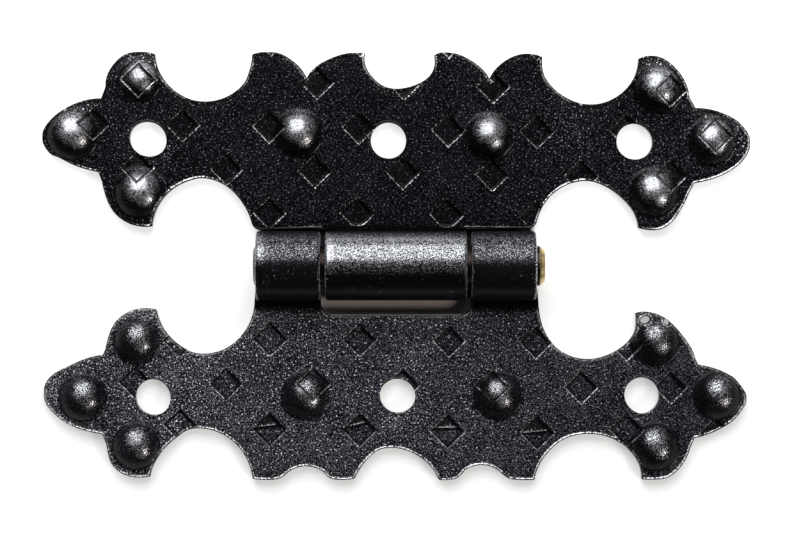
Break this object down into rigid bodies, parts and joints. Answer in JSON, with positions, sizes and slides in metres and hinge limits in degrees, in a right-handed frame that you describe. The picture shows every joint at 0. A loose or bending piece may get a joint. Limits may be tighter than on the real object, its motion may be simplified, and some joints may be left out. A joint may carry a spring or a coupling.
{
  "type": "butterfly hinge",
  "caption": "Decorative surface-mounted butterfly hinge: scalloped leaves with embossed domes and diamond stamps, turning on a plain pin.",
  "frame": {"origin": "on the plane of the leaves' backs, under the middle of the pin", "axes": "+X along the pin, +Y towards the one-knuckle leaf, +Z out of the domed face"},
  "size_m": [0.1, 0.0606, 0.0097],
  "materials": {
    "one_knuckle_leaf": "semi-gloss black antique paint with a fine grain, worn bright on the edges",
    "two_knuckle_leaf": "semi-gloss black antique paint with a fine grain, worn bright on the edges",
    "hinge_pin": "yellow-plated steel, dull"
  },
  "bodies": {
    "fixed_leaf": {"two_knuckle_leaf": "two_knuckle_leaf", "hinge_pin": "hinge_pin"},
    "moving_leaf": {"one_knuckle_leaf": "one_knuckle_leaf"}
  },
  "joints": [
    {"name": "leaf_fold", "type": "hinge", "parent": "fixed_leaf", "child": "moving_leaf", "pos_m": [0, 0, 0.00486], "axis": [1, 0, 0], "range_deg": [-90, 180]}
  ]
}
